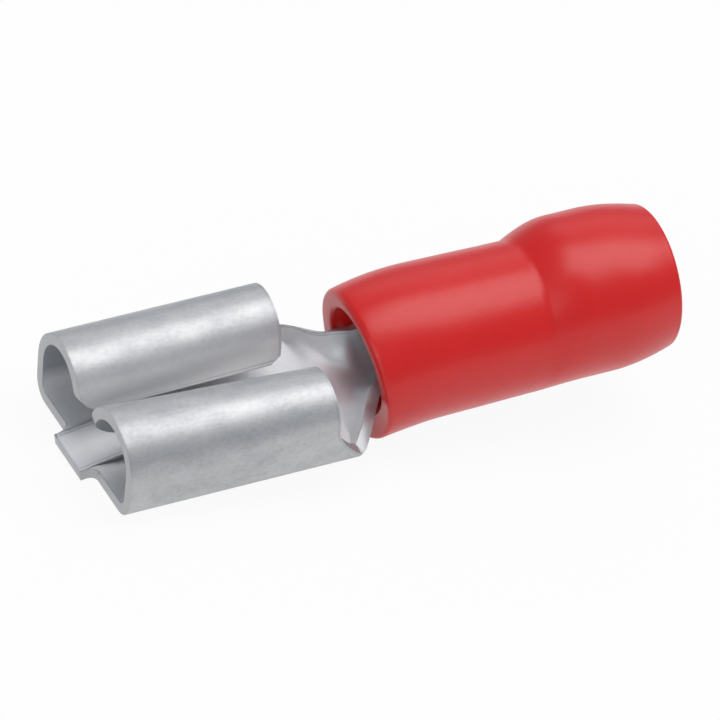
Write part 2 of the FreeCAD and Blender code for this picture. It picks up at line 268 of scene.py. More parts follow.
def half_section(wall, curl, lip):
    """Outer face from the foot line up the wall and round the curl to the lip."""
    cy = bend_centre(wall, curl)
    points = [on_arc(cy, BEND, BEND, turn) for turn in spread(FOOT_TURN, WALL_TURN, BEND_STEPS)]
    wall_top_z = BEND * (1 - math.cos(WALL_TURN)) + wall * math.sin(WALL_TURN)
    curl_y = HALF_BOX - curl
    curl_z = wall_top_z + curl * math.cos(WALL_TURN)
    curl_start = on_arc(curl_y, curl_z, curl, WALL_TURN)
    wall_y, wall_z = (spread(p, q, WALL_STEPS) for p, q in zip(points[-1], curl_start))
    points += list(zip(wall_y, wall_z))[1:]
    points += [on_arc(curl_y, curl_z, curl, turn)
               for turn in spread(WALL_TURN, 1.5 * math.pi, CURL_STEPS)[1:]]
    lip_y, curl_end = points[-1]
    return points + [(lip_y, z) for z in spread(curl_end, lip, LIP_STEPS)[1:]]


mouth_section = half_section(WALL_FRONT, CURL_FRONT, LIP_FRONT)
rear_section = half_section(WALL_REAR, CURL_REAR, LIP_REAR)
print("points from foot line to lip:", len(mouth_section), "curl tops:",
      round(max(p[1] for p in mouth_section), 2), round(max(p[1] for p in rear_section), 2))

# %% [markdown]
# Behind the curls the floor becomes a trough. Its section is two arcs that meet
# smoothly, and the edge's place gives their radii: two equations, one for the
# width and one for the height. Further back the arcs close into the barrel. The
# stations in between come from a smooth curve through the chosen ones.

# %% Cross-section of the neck and the barrel
BARREL_OUTER = 1.4       # outside radius
BARREL_START, BARREL_END = 11.8, 15.8
SEAM_HALF = 0.04         # half the gap between the barrel's butted edges
TAPER, TAPER_HALF, TAPER_RISE = 1.2, 2.15, 0.9    # length, half width and height at its end
TURN, TURN_HALF, TURN_RISE = 0.8, 1.58, 1.42      # the same where the edges stand up
TURN_END = NECK_START + TAPER + TURN
ARC_STEPS = 8            # of the outer arc of a section
STRIP_STEPS = 4          # of half the spring strip

front_cy, rear_cy = bend_centre(WALL_FRONT, CURL_FRONT), bend_centre(WALL_REAR, CURL_REAR)
BESIDE_STRIP = (0, 0.02, 0.06, 0.11, 0.158, 0.35, 0.56, 0.78, 1)
FLOOR_SHARES = [y / rear_cy for y in spread(0, STRIP_HALF, STRIP_STEPS)]
FLOOR_SHARES += [(STRIP_HALF + (rear_cy - STRIP_HALF) * share) / rear_cy
                 for share in BESIDE_STRIP[1:]]


def trough_section(bottom, r1, a1, r2, a2):
    """Points from the middle of the floor out to the arcs' meeting, then up to the edge."""
    floor = [on_arc(0, bottom + r1, r1, a1 * share) for share in FLOOR_SHARES]
    cy = (r1 - r2) * math.sin(a1)
    cz = bottom + r1 - (r1 - r2) * math.cos(a1)
    return floor + [on_arc(cy, cz, r2, turn) for turn in spread(a1, a1 + a2, ARC_STEPS)[1:]]


def edge_section(half, rise, turn, edge_turn):
    """Section whose edge lies at half and rise; turns in degrees."""
    turn, edge_turn = math.radians(turn), math.radians(edge_turn)
    a, b = math.sin(turn), math.sin(edge_turn) - math.sin(turn)
    c, d = 1 - math.cos(turn), math.cos(turn) - math.cos(edge_turn)
    whole = a * d - b * c
    r1, r2 = (half * d - b * rise) / whole, (a * rise - c * half) / whole
    return trough_section(0, r1, turn, r2, edge_turn - turn)


def flat_section(cy):
    """The flat floor and the bend as far as the foot line."""
    floor = [(cy * share, 0.0) for share in FLOOR_SHARES]
    return floor + [on_arc(cy, BEND, BEND, turn) for turn in spread(0, FOOT_TURN, ARC_STEPS)[1:]]


closed = math.pi - math.asin(SEAM_HALF / BARREL_OUTER)
foot_half = rear_cy + BEND * math.sin(FOOT_TURN)
stations = [(NECK_START - 0.5, flat_section(rear_cy)), (NECK_START, flat_section(rear_cy))]
for share, turn, edge_turn in ((0.5, 12, 34), (1, 20, 48)):
    run_in = share ** 1.3
    half = foot_half + (TAPER_HALF - foot_half) * run_in
    rise = FOOT_HEIGHT + (TAPER_RISE - FOOT_HEIGHT) * run_in
    stations.append((NECK_START + TAPER * share, edge_section(half, rise, turn, edge_turn)))
for share, turn, edge_turn in ((0.5, 30, 68), (1, 38, 82)):
    stand_up = 1 - (1 - share) ** 2
    half = TAPER_HALF + (TURN_HALF - TAPER_HALF) * stand_up
    rise = TAPER_RISE + (TURN_RISE - TAPER_RISE) * stand_up
    stations.append((NECK_START + TAPER + TURN * share,
                     edge_section(half, rise, turn, edge_turn)))
for share, widening, closing in ((0.4, 1.06, 0.61), (0.75, 1.01, 0.84), (1, 1, 1)):
    bottom = (BARREL_HEIGHT - BARREL_OUTER) * share
    r, turn = BARREL_OUTER * widening, closed * closing
    stations.append((TURN_END + (BARREL_START - TURN_END) * share,
                     trough_section(bottom, r, turn * 0.45, r, turn * 0.55)))
stations.append((BARREL_END, stations[-1][1]))
print("neck stations at", [round(x, 2) for x, _ in stations])


def neck_point(x, k):
    """Point k of the section at x, on a smooth curve through the stations."""
    i = max(j for j in range(len(stations) - 1) if stations[j][0] <= x)
    x0, x1 = stations[i][0], stations[i + 1][0]
    u = (x - x0) / (x1 - x0)
    found = []
    for axis in (0, 1):
        p0, p1 = stations[i][1][k][axis], stations[i + 1][1][k][axis]

        def slope(j):
            if j in (0, len(stations) - 1) or stations[j][0] in (NECK_START, BARREL_START):
                return 0.0
            before, after = stations[j - 1], stations[j + 1]
            return (after[1][k][axis] - before[1][k][axis]) / (after[0] - before[0])
        m0, m1 = slope(i) * (x1 - x0), slope(i + 1) * (x1 - x0)
        found.append((2 * u**3 - 3 * u**2 + 1) * p0 + (u**3 - 2 * u**2 + u) * m0
                     + (3 * u**2 - 2 * u**3) * p1 + (u**3 - u**2) * m1)
    return found

# %% [markdown]
# The sheet is laid out in patches that share their border points: the floor
# with the neck and barrel, the two sides with their curls, and the spring strip,
# which is cut free from the floor along two slits and bent up. Where a free lip
# has a rounded corner, the rows of points simply start or end later.

# %% Drawing the sheet
sheet = bmesh.new()
edge_layer = sheet.verts.layers.float.new("rim")


def add_patch(rows, side=1):
    """Quads between rows of (x, y, z) points, wound so that they face outwards."""
    made = [[sheet.verts.new(p) for p in row] for row in rows]
    for a, b in zip(made, made[1:]):
        for k in range(len(a) - 1):
            corners = (a[k], a[k + 1], b[k + 1], b[k])
            sheet.faces.new(corners if side > 0 else corners[::-1])


def floor_half_width(x):
    """Half width of the flat floor: straight from the mouth to the curls' end."""
    return front_cy + (rear_cy - front_cy) * min(1, x / CURL_LENGTH)


STRIP_END = 5.2
STRIP_REACH = 0.48       # of its lower face; the upper one reaches further
TIP_ROW = 0.39           # a second row close to the tip keeps the marked edge narrow
SLIT = 0.025             # the strip is this much narrower than its hole, on each side
ROOT = 0.3               # radius between the strip's tip and the floor's front edge
SLOPE = math.tan(math.radians(10))
LIFT = 0.3               # greatest height above the floor
RAMP_SHARE = 0.8         # of that height is reached by a straight ramp
RAMP_END = RAMP_SHARE * LIFT / SLOPE
CREST = RAMP_END + 0.35 * (STRIP_END - RAMP_END)
FIRST_STEPS = 3          # rows between the front edge and the first full row


def strip_height(x):
    """How far the spring strip stands above the floor; its tip points down."""
    if x < RAMP_END:
        return x * SLOPE
    if x < CREST:
        u = (x - RAMP_END) / (CREST - RAMP_END)
        return LIFT * (RAMP_SHARE + (1 - RAMP_SHARE) * (1 - (1 - u) ** 2))
    u = (x - CREST) / (STRIP_END - CREST)
    return LIFT * (1 - u * u * (3 - 2 * u))


def front_edge(distance):
    """Where the floor starts, at a distance beside the strip."""
    if distance >= ROOT:
        return 0.0
    return math.sqrt(ROOT**2 - (ROOT - distance) ** 2) - ROOT


def floor_row(x, side, step=None):
    """From the strip's slit to the foot line, on one side."""
    cy = floor_half_width(max(x, 0))
    row = []
    for share in BESIDE_STRIP:
        distance = (cy - STRIP_HALF) * share
        here = x
        if step is not None:
            here = spread(front_edge(distance), x, FIRST_STEPS)[step]
        row.append((here, side * (STRIP_HALF + distance), min(0, here) * SLOPE))
    for turn in spread(0, FOOT_TURN, ARC_STEPS)[1:]:
        y, z = on_arc(cy, BEND, BEND, turn)
        here = x if step is None else x * step / FIRST_STEPS
        row.append((here, side * y, z))
    return row


front = spread(0, STRIP_END, 26)[1:]
rear = spread(STRIP_END, CURL_LENGTH, 12)[1:] + spread(CURL_LENGTH, NECK_START, 6)[1:]
for side in (1, -1):
    rows = [floor_row(front[0], side, step) for step in range(FIRST_STEPS)]
    add_patch(rows + [floor_row(x, side) for x in front + rear], side)


def middle_row(x, half, z):
    """Across the middle, from side to side."""
    return [(x, half * k / STRIP_STEPS, z) for k in range(-STRIP_STEPS, STRIP_STEPS + 1)]


add_patch([middle_row(x, STRIP_HALF, 0.0) for x in front[-1:] + rear])


def strip_row(x):
    """The strip is a little narrower than its hole, except at its root and tip."""
    half = STRIP_HALF - (SLIT if 0 < x < STRIP_END else 0)
    return middle_row(x, half, strip_height(x) if x < STRIP_END else 0.0)


tip_rows = [-STRIP_REACH, -TIP_ROW] + spread(front_edge(0), front[0], FIRST_STEPS)[:-1]
add_patch([strip_row(x) for x in tip_rows + front])


def neck_row(x):
    """Whole section behind the foot line, from edge to edge."""
    half = [neck_point(x, k) for k in range(len(FLOOR_SHARES) + ARC_STEPS)]
    return [(x, -y, z) for y, z in half[:0:-1]] + [(x, y, z) for y, z in half]


neck_places = spread(NECK_START, TURN_END, 30) + spread(TURN_END, BARREL_START, 16)[1:]
neck_places += spread(BARREL_START, BARREL_END, 16)[1:]
add_patch([neck_row(x) for x in neck_places])
print("points so far:", len(sheet.verts))

LIP_ROUND_FRONT, LIP_ROUND_REAR = 0.85, 0.35     # corner radii of a curl's free lip
LIP_HALF = WALL_TOP + CURL_STEPS // 2            # beyond it lies the curl's inner half
FOOT_CURVE = 1.7                                 # how fast a wall slopes down to its foot


def side_point(x, k):
    """Point (y, z) of the line k at x: straight from the mouth to the curls' end."""
    share = min(1, x / CURL_LENGTH)
    (y0, z0), (y1, z1) = mouth_section[k], rear_section[k]
    return y0 + (y1 - y0) * share, z0 + (z1 - z0) * share


def late_start(height, radius):
    """How much later a row starts at a height above a lip with a rounded corner."""
    if height >= radius:
        return 0.0
    return radius - math.sqrt(max(0.0, radius**2 - (radius - height) ** 2))


def side_ends(k):
    """Where the line of points k starts and ends along x."""
    wall_top = rear_section[WALL_TOP][1]
    height = rear_section[k][1]
    start_x, end_x = 0.0, CURL_LENGTH
    if k <= WALL_TOP:
        fall = ((wall_top - height) / (wall_top - FOOT_HEIGHT)) ** FOOT_CURVE
        end_x = CURL_LENGTH + (NECK_START - CURL_LENGTH) * fall
    if k > LIP_HALF:
        start_x = late_start(max(0.0, mouth_section[k][1] - LIP_FRONT), LIP_ROUND_FRONT)
        end_x -= late_start(max(0.0, height - LIP_REAR), LIP_ROUND_REAR)
    return start_x, end_x


def side_row(along, side):
    """Row of the wall and its curl, at a distance out of the whole length."""
    row = []
    for k in range(len(mouth_section)):
        x0, x1 = side_ends(k)
        x = x0 + (x1 - x0) * along / NECK_START
        y, z = side_point(x, k)
        row.append((x, side * y, z))
    return row


side_places = spread(0, front[0], FIRST_STEPS)[:-1] + front + rear
for side in (1, -1):
    add_patch([side_row(along, side) for along in side_places], side)
print("points with the sides:", len(sheet.verts))

# %% [markdown]
# Where patches meet, their points coincide and are merged. The open edges that
# are left are the cut edges of the strip of brass. They are marked as "rim",
# because the finish differs there. Then the sheet gets its thickness, and its
# edges are rounded a little, as a stamping's edges are. Last, "depth" is kept
# for the finish: 0 on the outer face of the sheet and 1 on its inner face.

# %% Joining the patches and giving them thickness
EDGE_ROUND = 0.06

bmesh.ops.remove_doubles(sheet, verts=sheet.verts, dist=0.0005)
open_edges = [e for e in sheet.edges if e.is_boundary]
for edge in open_edges:
    for v in edge.verts:
        v[edge_layer] = 1.0
print("merged points:", len(sheet.verts), "open edges:", len(open_edges),
      "edges with too many faces:", sum(1 for e in sheet.edges if len(e.link_faces) > 2))
shared = [e.link_loops for e in sheet.edges if len(e.link_loops) == 2]
print("edges whose two faces disagree on the outside:",
      sum(1 for one, other in shared if one.vert == other.vert))
for v in sheet.verts:
    v.co = place(*v.co)
sheet_mesh = bpy.data.meshes.new("terminal_sheet")
sheet.to_mesh(sheet_mesh)
outer_face = BVHTree.FromBMesh(sheet)
sheet.free()
terminal = bpy.data.objects.new("terminal_sheet", sheet_mesh)
scene.collection.objects.link(terminal)
thick = terminal.modifiers.new("thickness", "SOLIDIFY")
thick.thickness = SHEET * MILLIMETRE
thick.offset = -1
thick.use_even_offset = True
round_edges = terminal.modifiers.new("rounded edges", "BEVEL")
round_edges.width = EDGE_ROUND * MILLIMETRE
round_edges.segments = 3
round_edges.limit_method = "ANGLE"
round_edges.angle_limit = math.radians(55)


def finished(thing):
    """Replaces an object's mesh by what its modifiers make of it."""
    graph = bpy.context.evaluated_depsgraph_get()
    result = bpy.data.meshes.new_from_object(thing.evaluated_get(graph),
                                             preserve_all_data_layers=True, depsgraph=graph)
    thing.modifiers.clear()
    thing.data = result
    for polygon in result.polygons:
        polygon.use_smooth = True


finished(terminal)
depth = terminal.data.attributes.new("depth", "FLOAT", "POINT")
for v in terminal.data.vertices:
    distance = outer_face.find_nearest(v.co)[3]
    depth.data[v.index].value = min(1.0, distance / (SHEET * MILLIMETRE))
print("terminal faces:", len(terminal.data.polygons),
      "attributes:", [a.name for a in terminal.data.attributes])
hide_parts("terminal")
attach(terminal, "root")

# %% [markdown]
# The sleeve is round everywhere, but its rings are not all on one axis: the
# front rim has sagged and leans, and the bell sits a little high. So each ring
# of its wall gets five numbers: place along the axis, radius, height of its
# centre, how far it leans, and whether it belongs to the outside. The list runs
# from the front rim back along the outside, round the rear rim, and forwards
# again through the bore, so that it closes on itself.

# %% Rings of the sleeve
SLEEVE_START, CREASE, SLEEVE_END = 9.92, 15.98, 20.83
AXIS = BARREL_HEIGHT
RIM, BELLY, WAIST, BELL, REAR = 2.65, 2.68, 2.6, 2.81, 2.45    # outside radii, front to rear
BELLY_AT = 0.22          # as a share of the front part
SWELL_TO, NARROW_FROM = 0.33, 0.56    # as shares of the bell
BELL_RISE, BORE_RISE = 0.36, 0.3      # the bell and the wire's hole sit higher than the axis
DROOP, DROOP_LENGTH = 0.38, 2.4
MOUTH_DROOP = 0.24       # the opening sags less, so the wall is thicker below
FRONT_LEAN = math.radians(10)
RIM_ROUND = 0.16
MOUTH, GRIP, COLLAR, FUNNEL, BORE = 1.87, 1.42, 1.28, 1.63, 1.98    # inside radii
THROAT_END = 12.1


def front_ring(run, inset=0.0):
    """Outside of the front part, at a distance behind the front rim."""
    u = run / (CREASE - SLEEVE_START)
    if u < BELLY_AT:
        radius = BELLY - (BELLY - RIM) * (1 - u / BELLY_AT) ** 2
    else:
        radius = BELLY - (BELLY - WAIST) * (u - BELLY_AT) / (1 - BELLY_AT)
    left = max(0.0, 1 - run / DROOP_LENGTH) ** 2
    return (SLEEVE_START + run, radius - inset, AXIS - DROOP * left, FRONT_LEAN * left, 1.0)


def bell_ring(u):
    """Outside of the bell, at a share of its length behind the crease."""
    swell = math.sin(math.pi / 2 * min(1, u / SWELL_TO))
    radius = WAIST + (BELL - WAIST) * swell
    if u > NARROW_FROM:
        radius = BELL - (BELL - REAR) * ((u - NARROW_FROM) / (1 - NARROW_FROM)) ** 1.8
    return (CREASE + u * (SLEEVE_END - CREASE), radius, AXIS + BELL_RISE * swell, 0.0, 1.0)


def rim_steps(count=5):
    """Quarter round: distance from the rim and what it takes off the radius."""
    turns = spread(0, math.pi / 2, count)
    return [(RIM_ROUND * (1 - math.cos(a)), RIM_ROUND * (1 - math.sin(a))) for a in turns]


rings = [front_ring(step, inset) for step, inset in rim_steps()]
rings += [front_ring(run) for run in spread(RIM_ROUND, CREASE - SLEEVE_START, 34)[1:]]
last_u = 1 - RIM_ROUND / (SLEEVE_END - CREASE)
rings += [bell_ring(u) for u in spread(0, last_u, 34)[1:]]
_, last_radius, last_height, _, _ = rings[-1]
for step, inset in rim_steps()[-2::-1]:
    rings.append((SLEEVE_END - step, last_radius - inset, last_height, 0.0, 1.0))
for step, inset in rim_steps():
    rings.append((SLEEVE_END - step, BORE + inset, AXIS + BORE_RISE, 0.0, 0.0))
for x, radius, rise in ((19, BORE, BORE_RISE), (17.3, BORE, BORE_RISE),
                        (17.07, BORE, BORE_RISE), (16.57, FUNNEL, BORE_RISE / 2),
                        (16.07, COLLAR, 0), (15.84, COLLAR, 0),
                        (15.82, COLLAR + 0.02, 0), (15.82, GRIP, 0), (14, GRIP, 0)):
    rings.append((x, radius, AXIS + rise, 0.0, 0.0))
throat_start = SLEEVE_START + RIM_ROUND
for x, radius in ((11.8, 1.43), (11.3, 1.49), (10.9, 1.56), (10.6, 1.63), (10.35, 1.71),
                  (10.2, 1.79), (throat_start, MOUTH)):
    u = (THROAT_END - x) / (THROAT_END - throat_start)
    rings.append((x, radius, AXIS - MOUTH_DROOP * u, FRONT_LEAN * u, 0.0))
for step, inset in rim_steps()[-2::-1]:
    rings.append((SLEEVE_START + step, MOUTH + inset, AXIS - MOUTH_DROOP, FRONT_LEAN, 0.0))
rings.append(rings[0])
print("rings:", len(rings), "largest radius:", round(max(r[1] for r in rings), 3))

# %% [markdown]
# A Geometry Nodes tree turns that list into the sleeve. It makes a flat grid
# with one row for each ring, looks up the numbers of a grid point's ring by its
# index, and bends the row into a circle. The first and last points of each
# circle, and the first and last rings, coincide, and Merge by Distance closes
# them. Sizes come in through named inputs, so the tree would sweep any other
# list of rings as well.
#
# The lean of a ring shifts its top forwards by the sine of the angle. Its lowest
# part doesn't lean, and it is pressed a little flat where it rests. A little
# noise, only ever inwards and only on the outside, keeps the soft plastic from
# looking turned on a lathe. The last steps turn and scale the working
# millimetres into the frame.

# %% The tree that sweeps the rings
sweep = bpy.data.node_groups.new("sweep_rings", "GeometryNodeTree")
given = add_inputs(sweep, (("Rings", "NodeSocketGeometry", None),
                           ("Points Around", "NodeSocketInt", 96),
                           ("Unevenness", "NodeSocketFloat", 0.03),
                           ("Seed", "NodeSocketFloat", 3.0),
                           ("Pressed Flat", "NodeSocketFloat", 0.14),
                           ("Tilt", "NodeSocketFloat", 0.0),
                           ("Scale", "NodeSocketFloat", MILLIMETRE),
                           ("Mouth", "NodeSocketVector", None),
                           ("Finish", "NodeSocketMaterial", None)))
sweep.interface.new_socket(name="Sleeve", in_out="OUTPUT", socket_type="NodeSocketGeometry")
result = sweep.nodes.new("NodeGroupOutput")

count = sweep.nodes.new("GeometryNodeAttributeDomainSize")
sweep.links.new(given.outputs["Rings"], count.inputs[0])
around = math_node(sweep, "ADD", given.outputs["Points Around"], 1)
grid = sweep.nodes.new("GeometryNodeMeshGrid")
sweep.links.new(count.outputs["Point Count"], grid.inputs["Vertices X"])
sweep.links.new(around, grid.inputs["Vertices Y"])
index = sweep.nodes.new("GeometryNodeInputIndex").outputs[0]
rows_before = math_node(sweep, "DIVIDE", math_node(sweep, "ADD", index, 0.5), around)
ring = math_node(sweep, "FLOOR", rows_before)
step = math_node(sweep, "SUBTRACT", index, times(sweep, ring, around))
angle = math_node(sweep, "DIVIDE", times(sweep, step, 2 * math.pi),
                  given.outputs["Points Around"])


def of_ring(name):
    """A number of the grid point's ring."""
    named = sweep.nodes.new("GeometryNodeInputNamedAttribute")
    named.data_type = "FLOAT"
    named.inputs["Name"].default_value = name
    sample = sweep.nodes.new("GeometryNodeSampleIndex")
    sample.data_type = "FLOAT"
    sample.domain = "POINT"
    sweep.links.new(given.outputs["Rings"], sample.inputs["Geometry"])
    sweep.links.new(named.outputs["Attribute"], sample.inputs["Value"])
    sweep.links.new(ring, sample.inputs["Index"])
    return sample.outputs[0]


def combine(x, y, z):
    node = sweep.nodes.new("ShaderNodeCombineXYZ")
    for socket, value in zip(node.inputs, (x, y, z)):
        sweep.links.new(value, socket)
    return node.outputs[0]


cosine, sine = math_node(sweep, "COSINE", angle), math_node(sweep, "SINE", angle)
radius, outside = of_ring("radius"), of_ring("outside")
noise = sweep.nodes.new("ShaderNodeTexNoise")
noise.noise_dimensions = "4D"
noise.inputs["Scale"].default_value = 0.45
sweep.links.new(given.outputs["Seed"], noise.inputs["W"])
sweep.links.new(combine(of_ring("along"), times(sweep, radius, sine),
                        times(sweep, radius, cosine)), noise.inputs["Vector"])
dent = times(sweep, times(sweep, noise.outputs[0], outside), given.outputs["Unevenness"])
radius = math_node(sweep, "SUBTRACT", radius, dent)
leaning = of_ring("lean")
lean_sine = math_node(sweep, "SINE", leaning)
below = math_node(sweep, "MINIMUM", cosine, 0)
bottom = times(sweep, below, below)
pressing = times(sweep, times(sweep, bottom, lean_sine), given.outputs["Pressed Flat"])
pressed = math_node(sweep, "SUBTRACT", 1, pressing)
leant = times(sweep, radius, math_node(sweep, "ADD", cosine, bottom))
upward = times(sweep, times(sweep, radius, cosine), pressed)
rise = times(sweep, upward, math_node(sweep, "COSINE", leaning))
point = combine(math_node(sweep, "SUBTRACT", of_ring("along"), times(sweep, leant, lean_sine)),
                times(sweep, radius, sine),
                math_node(sweep, "ADD", of_ring("height"), rise))
turned = sweep.nodes.new("ShaderNodeVectorRotate")
turned.rotation_type = "Y_AXIS"
sweep.links.new(point, turned.inputs["Vector"])
sweep.links.new(times(sweep, given.outputs["Tilt"], -1), turned.inputs["Angle"])
scaled = sweep.nodes.new("ShaderNodeVectorMath")
scaled.operation = "SCALE"
sweep.links.new(turned.outputs[0], scaled.inputs[0])
sweep.links.new(given.outputs["Scale"], scaled.inputs["Scale"])
moved = sweep.nodes.new("ShaderNodeVectorMath")
moved.operation = "ADD"
sweep.links.new(scaled.outputs[0], moved.inputs[0])
sweep.links.new(given.outputs["Mouth"], moved.inputs[1])

put = sweep.nodes.new("GeometryNodeSetPosition")
sweep.links.new(grid.outputs["Mesh"], put.inputs["Geometry"])
sweep.links.new(moved.outputs[0], put.inputs["Position"])
merge = sweep.nodes.new("GeometryNodeMergeByDistance")
merge.inputs["Distance"].default_value = 0.000002
real = sweep.nodes.new("GeometryNodeRealizeInstances")
dress = sweep.nodes.new("GeometryNodeSetMaterial")
sweep.links.new(put.outputs[0], merge.inputs["Geometry"])
sweep.links.new(merge.outputs[0], real.inputs[0])
sweep.links.new(real.outputs[0], dress.inputs["Geometry"])
sweep.links.new(given.outputs["Finish"], dress.inputs["Material"])
sweep.links.new(dress.outputs[0], result.inputs[0])
print("nodes in the tree:", len(sweep.nodes))

# %% [markdown]
# The list of rings becomes a mesh of points with one attribute for each number,
# the tree runs on it as a modifier, and its result is kept as a plain mesh.

# %% Making the sleeve
ring_mesh = bpy.data.meshes.new("sleeve_rings")
ring_mesh.from_pydata([(r[0] * MILLIMETRE, 0, 0) for r in rings],
                      [(k, k + 1) for k in range(len(rings) - 1)], [])
for column, name in enumerate(("along", "radius", "height", "lean", "outside")):
    layer = ring_mesh.attributes.new(name, "FLOAT", "POINT")
    layer.data.foreach_set("value", [r[column] for r in rings])
sleeve = bpy.data.objects.new("insulating_sleeve_skin", ring_mesh)
scene.collection.objects.link(sleeve)
red_pvc = bpy.data.materials.new("soft_red_pvc")
sweeping = sleeve.modifiers.new("sweep", "NODES")
sweeping.node_group = sweep
chosen = {"Points Around": 120, "Unevenness": 0.03, "Seed": 3.0, "Pressed Flat": 0.14,
          "Tilt": tilt, "Scale": MILLIMETRE, "Mouth": tuple(start), "Finish": red_pvc}
for item in sweep.interface.items_tree:
    if item.in_out == "INPUT" and item.name in chosen:
        sweeping[item.identifier] = chosen[item.name]
finished(sleeve)
shell = bmesh.new()
shell.from_mesh(sleeve.data)
bmesh.ops.recalc_face_normals(shell, faces=shell.faces)
print("sleeve faces:", len(shell.faces),
      "open edges:", sum(1 for e in shell.edges if e.is_boundary))
shell.to_mesh(sleeve.data)
shell.free()
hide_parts("insulating_sleeve")
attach(sleeve, "root")

# %% [markdown]
# Both finishes share a few node groups. The first makes soft clouds: one large
# and one small noise, mixed, with their contrast set by a Map Range. The second
# is the grain of a surface, for Bump nodes. Both turn object coordinates back
# into the working millimetres, so their scales are given per millimetre.

# %% Shared groups: clouds and grain
FLOAT = "NodeSocketFloat"


def noise_node(tree, vector, scale, detail, roughness=0.5):
    node = tree.nodes.new("ShaderNodeTexNoise")
    tree.links.new(vector, node.inputs["Vector"])
    if isinstance(scale, (int, float)):
        node.inputs["Scale"].default_value = scale
    else:
        tree.links.new(scale, node.inputs["Scale"])
    node.inputs["Detail"].default_value = detail
    node.inputs["Roughness"].default_value = roughness
    return node.outputs[0]


def working_place(tree):
    """Object coordinates turned back into the working millimetres."""
    where = tree.nodes.new("ShaderNodeTexCoord")
    level = tree.nodes.new("ShaderNodeMapping")
    level.vector_type = "POINT"
    level.inputs["Scale"].default_value = (1 / MILLIMETRE,) * 3
    level.inputs["Rotation"].default_value = (0, tilt, 0)
    level.inputs["Location"].default_value = lean.transposed() @ start / -MILLIMETRE
    tree.links.new(where.outputs["Object"], level.inputs["Vector"])
    return level.outputs[0]


def along_strip(tree, stretch):
    """The working place, squeezed along the axis so that patterns run that way."""
    squeeze = tree.nodes.new("ShaderNodeVectorMath")
    squeeze.operation = "MULTIPLY"
    squeeze.inputs[1].default_value = (1 / stretch, 1, 1)
    tree.links.new(working_place(tree), squeeze.inputs[0])
    return squeeze.outputs[0]


clouds = bpy.data.node_groups.new("clouds", "ShaderNodeTree")
given = add_inputs(clouds, (("Per Millimetre", FLOAT, 0.5), ("Fine Share", FLOAT, 0.4),
                            ("Low", FLOAT, 0.35), ("High", FLOAT, 0.65)))
clouds.interface.new_socket(name="Mask", in_out="OUTPUT", socket_type=FLOAT)
result = clouds.nodes.new("NodeGroupOutput")
where = along_strip(clouds, 1.6)
coarse = noise_node(clouds, where, given.outputs["Per Millimetre"], 3)
fine = noise_node(clouds, where, times(clouds, given.outputs["Per Millimetre"], 7), 5, 0.62)
share = given.outputs["Fine Share"]
mixed = math_node(clouds, "ADD", times(clouds, fine, share),
                  times(clouds, coarse, math_node(clouds, "SUBTRACT", 1, share)))
spread_out = clouds.nodes.new("ShaderNodeMapRange")
clouds.links.new(mixed, spread_out.inputs["Value"])
clouds.links.new(given.outputs["Low"], spread_out.inputs["From Min"])
clouds.links.new(given.outputs["High"], spread_out.inputs["From Max"])
clouds.links.new(spread_out.outputs[0], result.inputs["Mask"])

grain = bpy.data.node_groups.new("grain", "ShaderNodeTree")
given = add_inputs(grain, (("Per Millimetre", FLOAT, 20),))
grain.interface.new_socket(name="Height", in_out="OUTPUT", socket_type=FLOAT)
result = grain.nodes.new("NodeGroupOutput")
pits = noise_node(grain, along_strip(grain, 1), given.outputs["Per Millimetre"], 3)
drawn = noise_node(grain, along_strip(grain, 9), given.outputs["Per Millimetre"], 2)
grain.links.new(math_node(grain, "ADD", times(grain, pits, 0.6), times(grain, drawn, 0.4)),
                result.inputs["Height"])
print("groups:", clouds.name, grain.name)

# %% [markdown]
# The tin is a satin metal. Where its clouds are dark it is a little rougher and
# greyer. The cut edges, marked as "rim" when the sheet was drawn, are an even
# grey and slightly smoother, with a thin darker line beside them. The inner face,
# known by "depth", is painted much lighter on the floor and the neck (painted
# light), with painted shade under the curls and a bluish painted shade in the
# sleeve's mouth. The low bends get a dark painted shade, and the curls' sides
# that face each other are painted lighter as a painted reflection.

# %% Satin tin
def principled(material):
    """A material's tree with one surface shader, and that shader."""
    tree = empty_tree(material)
    out = tree.nodes.new("ShaderNodeOutputMaterial")
    shader = tree.nodes.new("ShaderNodeBsdfPrincipled")
    tree.links.new(shader.outputs[0], out.inputs["Surface"])
    return tree, shader


def group_node(tree, group, **values):
    node = tree.nodes.new("ShaderNodeGroup")
    node.node_tree = group
    for name, value in values.items():
        node.inputs[name.replace("_", " ")].default_value = value
    return node.outputs[0]


def ramp(tree, factor, stops):
    """Colour ramp from (position, colour) stops."""
    node = tree.nodes.new("ShaderNodeValToRGB")
    tree.links.new(factor, node.inputs[0])
    band = node.color_ramp
    while len(band.elements) < len(stops):
        band.elements.new(0.5)
    for element, (position, colour) in zip(band.elements, stops):
        element.position = position
        element.color = (*colour, 1)
    return node.outputs[0]


def map_range(tree, value, low, high, to_low, to_high):
    node = tree.nodes.new("ShaderNodeMapRange")
    tree.links.new(value, node.inputs["Value"])
    for name, number in (("From Min", low), ("From Max", high),
                         ("To Min", to_low), ("To Max", to_high)):
        node.inputs[name].default_value = number
    return node.outputs[0]


def blend_colour(tree, factor, a, b):
    node = tree.nodes.new("ShaderNodeMix")
    node.data_type = "RGBA"
    tree.links.new(factor, node.inputs["Factor"])
    for socket, value in ((node.inputs[6], a), (node.inputs[7], b)):
        if isinstance(value, tuple):
            socket.default_value = (*value, 1)
        else:
            tree.links.new(value, socket)
    return node.outputs[2]


def bump(tree, shader, height, distance, strength):
    node = tree.nodes.new("ShaderNodeBump")
    node.inputs["Distance"].default_value = distance
    node.inputs["Strength"].default_value = strength
    tree.links.new(height, node.inputs["Height"])
    tree.links.new(node.outputs[0], shader.inputs["Normal"])


